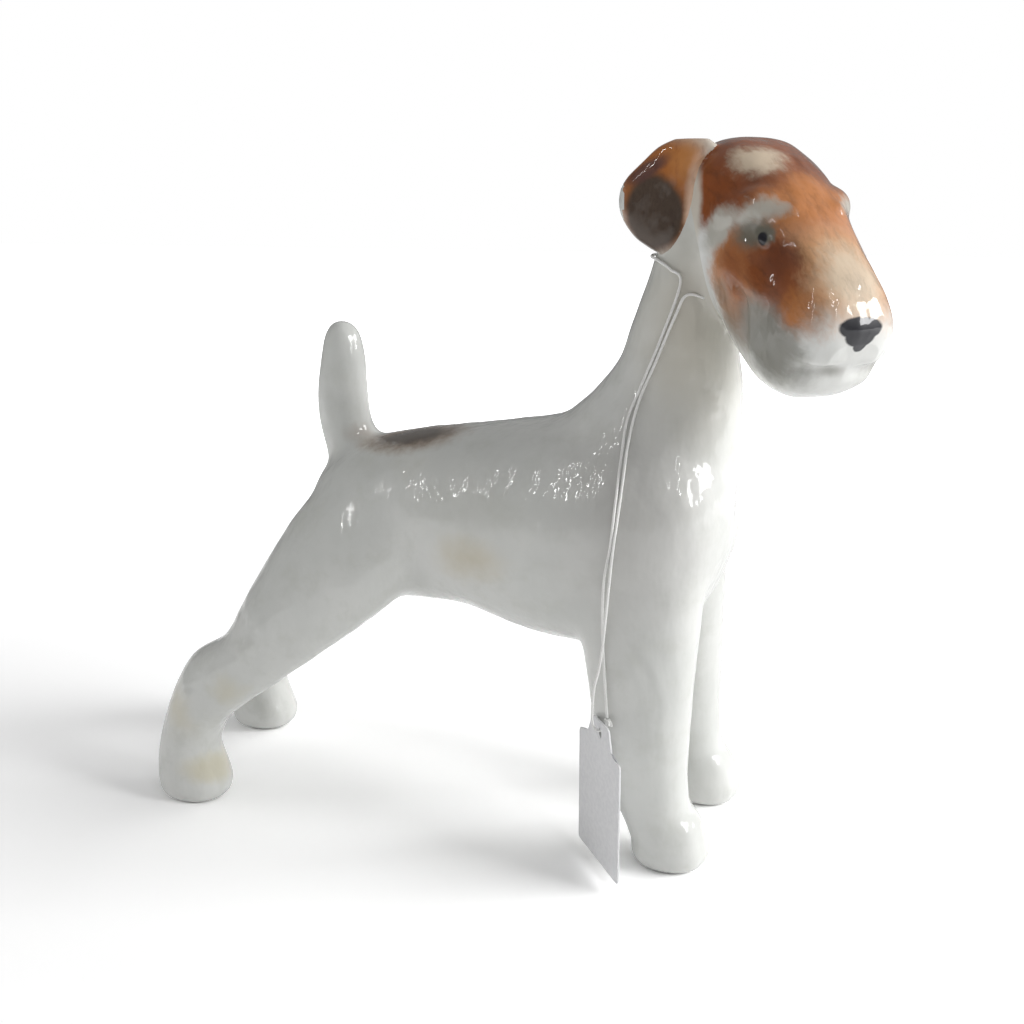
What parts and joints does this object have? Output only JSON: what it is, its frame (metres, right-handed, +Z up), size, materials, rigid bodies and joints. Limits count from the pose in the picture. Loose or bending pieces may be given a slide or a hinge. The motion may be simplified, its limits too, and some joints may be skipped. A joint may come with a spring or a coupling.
{
  "type": "ceramic dog figurine",
  "caption": "Standing wire-haired terrier figurine in glazed porcelain, head turned to its right and docked tail up, with a blank swing ticket strung round its neck.",
  "frame": {"origin": "on the floor, under the middle of the figurine's box, without its string and ticket", "axes": "+X the way the dog's body faces, +Y to the dog's left, +Z up"},
  "size_m": [0.2232, 0.082, 0.2019],
  "materials": {
    "white_porcelain": "glossy clear glaze",
    "painted_head": "glossy clear glaze over sprayed and brushed underglaze colour",
    "painted_ear": "glossy clear glaze over sprayed and brushed underglaze colour",
    "cotton_string": "twisted soft cotton thread",
    "ticket_card": "matt white card"
  },
  "bodies": {
    "figurine": {"torso": "white_porcelain", "head": "painted_head", "ear_right": "painted_ear", "ear_left": "painted_ear", "tail": "white_porcelain", "foreleg_right": "white_porcelain", "foreleg_left": "white_porcelain", "hindleg_right": "white_porcelain", "hindleg_left": "white_porcelain", "ticket_string": "cotton_string", "string_knot": "cotton_string"},
    "ticket": {"swing_ticket": "ticket_card"}
  },
  "joints": [
    {"name": "ticket_swing", "type": "hinge", "parent": "figurine", "child": "ticket", "pos_m": [0.0426, -0.0285, 0.0425], "axis": [0.788, 0.6157, 0], "range_deg": [-30, 30]}
  ]
}
